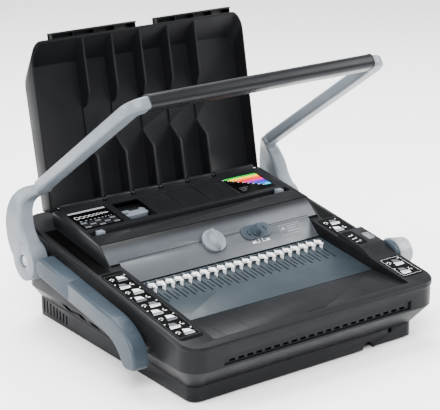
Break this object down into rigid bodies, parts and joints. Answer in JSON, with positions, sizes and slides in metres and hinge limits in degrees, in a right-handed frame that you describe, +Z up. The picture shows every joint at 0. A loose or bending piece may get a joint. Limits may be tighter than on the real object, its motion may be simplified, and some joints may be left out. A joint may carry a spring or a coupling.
{
  "type": "comb binding machine",
  "caption": "desktop comb and wire binding machine with a U-shaped pull handle, side comb lever, size dial, paper trough, open lid and rear chip drawer",
  "frame": {"origin": "centre of the machine's width on the bench plane under the feet, 160 mm in front of the handle pivot", "axes": "+X to the right seen from the front, +Y to the back, +Z up"},
  "size_m": [0.4781, 0.4422, 0.4038],
  "materials": {
    "charcoal_abs": "textured charcoal ABS",
    "rubber_black": "soft black rubber",
    "label_black": "printed gloss label",
    "blue_grey_plate": "blue-grey powder coat",
    "silver_abs": "silver-grey moulded ABS",
    "dark_fascia_abs": "satin dark grey ABS",
    "pale_grey_abs": "satin pale grey ABS",
    "slate_abs": "satin slate ABS",
    "dark_bar": "dark anodised extrusion",
    "clear_window": "clear polycarbonate",
    "printed_drum": "printed colour scale",
    "bronze": "sintered bronze",
    "steel": "machined steel"
  },
  "bodies": {
    "housing": {"base_tray": "charcoal_abs", "base_feet": "rubber_black", "base_screws": "steel", "upper_housing": "charcoal_abs", "left_rail_label": "label_black", "right_rail_label": "label_black", "comb_plate": "blue_grey_plate", "finger_comb": "steel", "lower_fascia": "silver_abs", "upper_fascia": "dark_fascia_abs", "selector_plate": "slate_abs", "tray_housing": "charcoal_abs", "tray_label_left": "label_black", "tray_label_right": "label_black", "side_frame_left": "steel", "side_frame_right": "steel", "die_block": "steel", "stripper_plate": "steel", "frame_tie_rods": "steel", "shaft_bushes": "bronze", "wire_holder_strip": "blue_grey_plate", "wire_anvil": "steel", "lid_hinge_rod": "steel", "dial_collar": "slate_abs", "dial_bracket": "blue_grey_plate", "indicator_window": "clear_window"},
    "handle": {"handle_arm_left": "pale_grey_abs", "handle_arm_right": "pale_grey_abs", "grip_bar": "dark_bar", "grip_rings": "charcoal_abs", "handle_shaft": "steel", "drive_gears": "steel", "arm_screws": "steel"},
    "punch_carriage": {"punch_bar": "steel", "punch_pins": "steel", "punch_racks": "steel"},
    "closer_carriage": {"closer_rods": "steel", "closer_bar": "steel"},
    "lid": {"lid": "charcoal_abs"},
    "comb_lever": {"comb_lever_arm": "slate_abs", "lever_grip_cap": "slate_abs", "lever_shaft": "steel", "lever_pinion": "steel"},
    "hook_carriage": {"hook_comb": "steel", "hook_slide": "steel"},
    "edge_knob": {"edge_knob": "pale_grey_abs", "guide_pinion": "pale_grey_abs"},
    "left_guide": {"left_edge_guide": "pale_grey_abs"},
    "right_guide": {"right_edge_guide": "pale_grey_abs"},
    "punch_selector": {"selector_fin": "slate_abs"},
    "size_dial": {"size_dial": "pale_grey_abs", "dial_shaft": "steel", "dial_gear": "steel", "closer_stop_cam": "steel"},
    "size_indicator": {"size_drum": "printed_drum"},
    "front_flap": {"front_flap": "charcoal_abs"},
    "chip_drawer": {"chip_drawer": "charcoal_abs"},
    "gauge_tool": {"gauge_tool": "pale_grey_abs"}
  },
  "joints": [
    {"name": "handle_pull", "type": "hinge", "parent": "housing", "child": "handle", "pos_m": [0, 0.16, 0.104], "axis": [1, 0, 0], "range_deg": [0, 43]},
    {"name": "punch_slide", "type": "slide", "parent": "housing", "child": "punch_carriage", "axis": [0, -1, 0], "range_m": [0, 0.0128]},
    {"name": "closer_slide", "type": "slide", "parent": "housing", "child": "closer_carriage", "axis": [0, 1, 0], "range_m": [0, 0.0128]},
    {"name": "lid_hinge", "type": "hinge", "parent": "housing", "child": "lid", "pos_m": [0, 0.172, 0.1642], "axis": [1, 0, 0], "range_deg": [0, 108]},
    {"name": "comb_lever_hinge", "type": "hinge", "parent": "housing", "child": "comb_lever", "pos_m": [-0.224, -0.104, 0.056], "axis": [1, 0, 0], "range_deg": [0, 100]},
    {"name": "hook_slide", "type": "slide", "parent": "housing", "child": "hook_carriage", "axis": [0, -1, 0], "range_m": [0, 0.01397]},
    {"name": "edge_knob_turn", "type": "hinge", "parent": "housing", "child": "edge_knob", "pos_m": [-0.009, 0.0237, 0.12326], "axis": [0, 0.6547, -0.7559], "range_deg": [0, 300]},
    {"name": "left_guide_slide", "type": "slide", "parent": "housing", "child": "left_guide", "axis": [1, 0, 0], "range_m": [0, 0.0419]},
    {"name": "right_guide_slide", "type": "slide", "parent": "housing", "child": "right_guide", "axis": [-1, 0, 0], "range_m": [0, 0.0419]},
    {"name": "selector_turn", "type": "hinge", "parent": "housing", "child": "punch_selector", "pos_m": [0.066, 0.02332, 0.12293], "axis": [0, -0.6547, 0.7559], "range_deg": [-25, 25]},
    {"name": "size_dial_turn", "type": "hinge", "parent": "housing", "child": "size_dial", "pos_m": [0.23, -0.095, 0.091], "axis": [1, 0, 0], "range_deg": [0, 270]},
    {"name": "indicator_turn", "type": "hinge", "parent": "housing", "child": "size_indicator", "pos_m": [0.195, -0.0719, 0.0845], "axis": [1, 0, 0], "range_deg": [-112, 0]},
    {"name": "front_flap_hinge", "type": "hinge", "parent": "housing", "child": "front_flap", "pos_m": [0, -0.1195, 0.0848], "axis": [-1, 0, 0], "range_deg": [0, 100]},
    {"name": "chip_drawer_slide", "type": "slide", "parent": "housing", "child": "chip_drawer", "axis": [0, 1, 0], "range_m": [0, 0.12]},
    {"name": "gauge_tool_lift", "type": "slide", "parent": "housing", "child": "gauge_tool", "axis": [0, 0, 1], "range_m": [0, 0.06]}
  ],
  "couplings": [
    {"joint": "punch_slide", "follows": "handle_pull", "m_per_rad": 0.017},
    {"joint": "closer_slide", "follows": "handle_pull", "m_per_rad": 0.017},
    {"joint": "hook_slide", "follows": "comb_lever_hinge", "m_per_rad": 0.008},
    {"joint": "left_guide_slide", "follows": "edge_knob_turn", "m_per_rad": 0.008},
    {"joint": "right_guide_slide", "follows": "edge_knob_turn", "m_per_rad": 0.008},
    {"joint": "indicator_turn", "follows": "size_dial_turn", "ratio": -0.41176}
  ]
}
